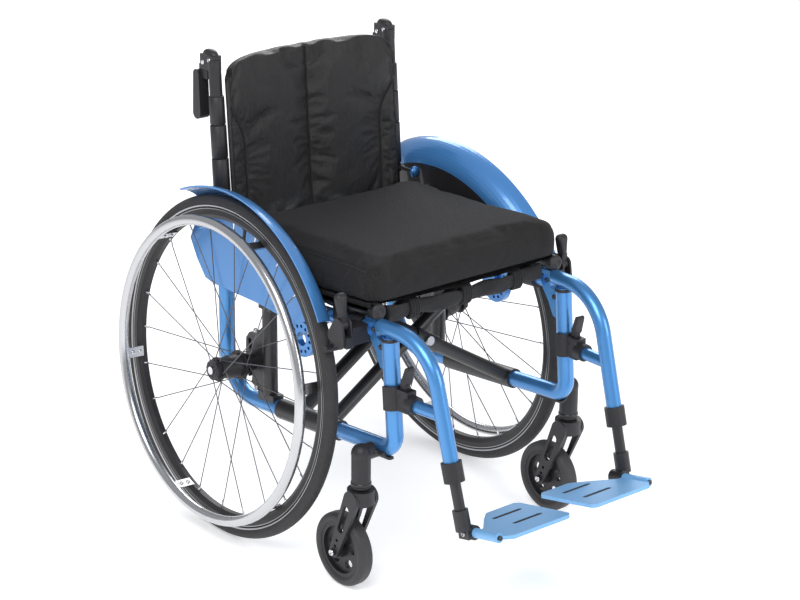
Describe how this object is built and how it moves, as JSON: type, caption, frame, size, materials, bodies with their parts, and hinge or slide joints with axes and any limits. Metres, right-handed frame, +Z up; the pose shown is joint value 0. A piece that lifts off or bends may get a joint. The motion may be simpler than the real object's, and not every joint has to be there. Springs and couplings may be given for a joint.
{
  "type": "folding manual wheelchair",
  "caption": "Folding active wheelchair with light blue tube side frames, black scissor brace, 24 inch cambered wheels, swing-away legrests and black cushions.",
  "frame": {"origin": "centre of the bounding box on the floor", "axes": "+X to the chair's left, +Y to its rear, +Z up; the person faces -Y"},
  "size_m": [0.6378, 0.914, 0.81],
  "materials": {
    "blue_paint": "satin metallic light blue",
    "blue_tube": "gloss metallic light blue",
    "black_metal": "satin black powder coat",
    "black_plastic": "moulded, lightly textured",
    "tyre_rubber": "treaded black with a pale reflective stripe",
    "caster_rubber": "smooth dark grey",
    "rim_black": "black anodised with a silver brake band",
    "handrim_metal": "polished",
    "spoke_black": "thin dark steel",
    "chrome": "bright",
    "cushion_cloth": "black spacer mesh",
    "back_nylon": "black quilted nylon with a soft sheen",
    "sling_cloth": "black woven webbing"
  },
  "bodies": {
    "right_side": {"frame_right": "blue_tube", "axle_carrier_right": "black_metal", "caster_housing_right": "black_plastic", "back_post_right": "black_plastic", "side_guard_right": "blue_paint", "guard_disc_right": "blue_paint", "saddles_right": "black_plastic", "brake_body_right": "black_plastic", "cushion": "cushion_cloth", "seat_sling": "sling_cloth", "backrest": "back_nylon"},
    "left_side": {"frame_left": "blue_tube", "axle_carrier_left": "black_metal", "caster_housing_left": "black_plastic", "back_post_left": "black_plastic", "side_guard_left": "blue_paint", "guard_disc_left": "blue_paint", "saddles_left": "black_plastic", "brake_body_left": "black_plastic"},
    "brace_rear": {"brace_rear": "black_metal", "brace_bolt": "black_metal", "seat_rail_left": "black_plastic"},
    "brace_front": {"brace_front": "black_metal", "seat_rail_right": "black_plastic"},
    "wheel_left": {"tyre_left": "tyre_rubber", "rim_left": "rim_black", "spokes_left": "spoke_black", "hub_left": "black_plastic", "handrim_left": "handrim_metal"},
    "button_left": {"axle_button_left": "chrome"},
    "fork_left": {"fork_left": "black_plastic"},
    "caster_left": {"caster_tyre_left": "caster_rubber", "caster_hub_left": "black_plastic"},
    "legrest_left": {"legrest_left": "blue_tube", "latch_body_left": "black_plastic", "leg_collar_left": "black_plastic"},
    "latch_lever_left": {"latch_lever_left": "black_plastic"},
    "foot_tube_left": {"foot_tube_left": "black_metal"},
    "footplate_left": {"footplate_left": "blue_paint"},
    "push_handle_left": {"push_handle_left": "black_plastic"},
    "brake_lever_left": {"brake_lever_left": "black_plastic"},
    "brake_shoe_left": {"brake_shoe_left": "black_plastic"},
    "wheel_right": {"tyre_right": "tyre_rubber", "rim_right": "rim_black", "spokes_right": "spoke_black", "hub_right": "black_plastic", "handrim_right": "handrim_metal"},
    "button_right": {"axle_button_right": "chrome"},
    "fork_right": {"fork_right": "black_plastic"},
    "caster_right": {"caster_tyre_right": "caster_rubber", "caster_hub_right": "black_plastic"},
    "legrest_right": {"legrest_right": "blue_tube", "latch_body_right": "black_plastic", "leg_collar_right": "black_plastic"},
    "latch_lever_right": {"latch_lever_right": "black_plastic"},
    "foot_tube_right": {"foot_tube_right": "black_metal"},
    "footplate_right": {"footplate_right": "blue_paint"},
    "push_handle_right": {"push_handle_right": "black_plastic"},
    "brake_lever_right": {"brake_lever_right": "black_plastic"},
    "brake_shoe_right": {"brake_shoe_right": "black_plastic"}
  },
  "joints": [
    {"name": "fold", "type": "hinge", "parent": "right_side", "child": "brace_rear", "pos_m": [-0.189, -0.03895, 0.2386], "axis": [0, -0.9962, 0.0872], "range_deg": [0, 38], "deforming": ["cushion", "seat_sling", "backrest"]},
    {"name": "brace_scissor", "type": "hinge", "parent": "brace_rear", "child": "brace_front", "pos_m": [0, -0.02904, 0.35193], "axis": [0, -0.9962, 0.0872], "range_deg": [-77, 1]},
    {"name": "side_swing", "type": "hinge", "parent": "brace_front", "child": "left_side", "pos_m": [0.189, -0.03895, 0.2386], "axis": [0, -0.9962, 0.0872], "range_deg": [-1, 39]},
    {"name": "wheel_spin_left", "type": "hinge", "parent": "left_side", "child": "wheel_left", "pos_m": [0.25, 0.16005, 0.29631], "axis": [0.9976, 0, 0.0698], "continuous": true},
    {"name": "axle_button_press_left", "type": "slide", "parent": "wheel_left", "child": "button_left", "axis": [-0.9976, 0, -0.0698], "range_m": [0, 0.003], "stiffness_N_per_m": 800},
    {"name": "caster_swivel_left", "type": "hinge", "parent": "left_side", "child": "fork_left", "pos_m": [0.231, -0.17995, 0.19], "axis": [0, 0, 1], "continuous": true},
    {"name": "caster_spin_left", "type": "hinge", "parent": "fork_left", "child": "caster_left", "pos_m": [0.231, -0.13595, 0.0635], "axis": [1, 0, 0], "continuous": true},
    {"name": "legrest_swing_left", "type": "hinge", "parent": "left_side", "child": "legrest_left", "pos_m": [0.189, -0.20095, 0.439], "axis": [0, 0.0819, 0.9966], "range_deg": [0, 85]},
    {"name": "latch_press_left", "type": "hinge", "parent": "legrest_left", "child": "latch_lever_left", "pos_m": [0.1867, -0.23387, 0.356], "axis": [0.9976, -0.0698, 0], "range_deg": [0, 18], "stiffness_Nm_per_rad": 0.3},
    {"name": "foot_slide_left", "type": "slide", "parent": "legrest_left", "child": "foot_tube_left", "axis": [0.0192, 0.275, 0.9613], "range_m": [-0.05, 0.034]},
    {"name": "footplate_flip_left", "type": "hinge", "parent": "foot_tube_left", "child": "footplate_left", "pos_m": [0.165, -0.38795, 0.166], "axis": [0, 0.9781, -0.2079], "range_deg": [-1, 83]},
    {"name": "push_handle_fold_left", "type": "hinge", "parent": "left_side", "child": "push_handle_left", "pos_m": [0.189, 0.28905, 0.796], "axis": [1, 0, 0], "range_deg": [0, 90]},
    {"name": "brake_lever_swing_left", "type": "hinge", "parent": "left_side", "child": "brake_lever_left", "pos_m": [0.24, -0.14295, 0.46], "axis": [1, 0, 0], "range_deg": [0, 50]},
    {"name": "brake_shoe_swing_left", "type": "hinge", "parent": "left_side", "child": "brake_shoe_left", "pos_m": [0.24, -0.12795, 0.44], "axis": [1, 0, 0], "range_deg": [-1, 8]},
    {"name": "wheel_spin_right", "type": "hinge", "parent": "right_side", "child": "wheel_right", "pos_m": [-0.25, 0.16005, 0.29631], "axis": [-0.9976, 0, 0.0698], "continuous": true},
    {"name": "axle_button_press_right", "type": "slide", "parent": "wheel_right", "child": "button_right", "axis": [0.9976, 0, -0.0698], "range_m": [0, 0.003], "stiffness_N_per_m": 800},
    {"name": "caster_swivel_right", "type": "hinge", "parent": "right_side", "child": "fork_right", "pos_m": [-0.231, -0.17995, 0.19], "axis": [0, 0, 1], "continuous": true},
    {"name": "caster_spin_right", "type": "hinge", "parent": "fork_right", "child": "caster_right", "pos_m": [-0.231, -0.13595, 0.0635], "axis": [1, 0, 0], "continuous": true},
    {"name": "legrest_swing_right", "type": "hinge", "parent": "right_side", "child": "legrest_right", "pos_m": [-0.189, -0.20095, 0.439], "axis": [0, -0.0819, -0.9966], "range_deg": [0, 85]},
    {"name": "latch_press_right", "type": "hinge", "parent": "legrest_right", "child": "latch_lever_right", "pos_m": [-0.1867, -0.23387, 0.356], "axis": [0.9976, 0.0698, 0], "range_deg": [0, 18], "stiffness_Nm_per_rad": 0.3},
    {"name": "foot_slide_right", "type": "slide", "parent": "legrest_right", "child": "foot_tube_right", "axis": [-0.0192, 0.275, 0.9613], "range_m": [-0.05, 0.034]},
    {"name": "footplate_flip_right", "type": "hinge", "parent": "foot_tube_right", "child": "footplate_right", "pos_m": [-0.165, -0.38795, 0.166], "axis": [0, -0.9781, 0.2079], "range_deg": [-1, 83]},
    {"name": "push_handle_fold_right", "type": "hinge", "parent": "right_side", "child": "push_handle_right", "pos_m": [-0.189, 0.28905, 0.796], "axis": [1, 0, 0], "range_deg": [0, 90]},
    {"name": "brake_lever_swing_right", "type": "hinge", "parent": "right_side", "child": "brake_lever_right", "pos_m": [-0.24, -0.14295, 0.46], "axis": [1, 0, 0], "range_deg": [0, 50]},
    {"name": "brake_shoe_swing_right", "type": "hinge", "parent": "right_side", "child": "brake_shoe_right", "pos_m": [-0.24, -0.12795, 0.44], "axis": [1, 0, 0], "range_deg": [-1, 8]}
  ],
  "couplings": [
    {"joint": "brace_scissor", "follows": "fold", "ratio": -2},
    {"joint": "side_swing", "follows": "fold", "ratio": 1},
    {"joint": "footplate_flip_left", "follows": "fold", "ratio": 2.1579},
    {"joint": "brake_shoe_swing_left", "follows": "brake_lever_swing_left", "ratio": 0.14},
    {"joint": "footplate_flip_right", "follows": "fold", "ratio": 2.1579},
    {"joint": "brake_shoe_swing_right", "follows": "brake_lever_swing_right", "ratio": 0.14}
  ]
}
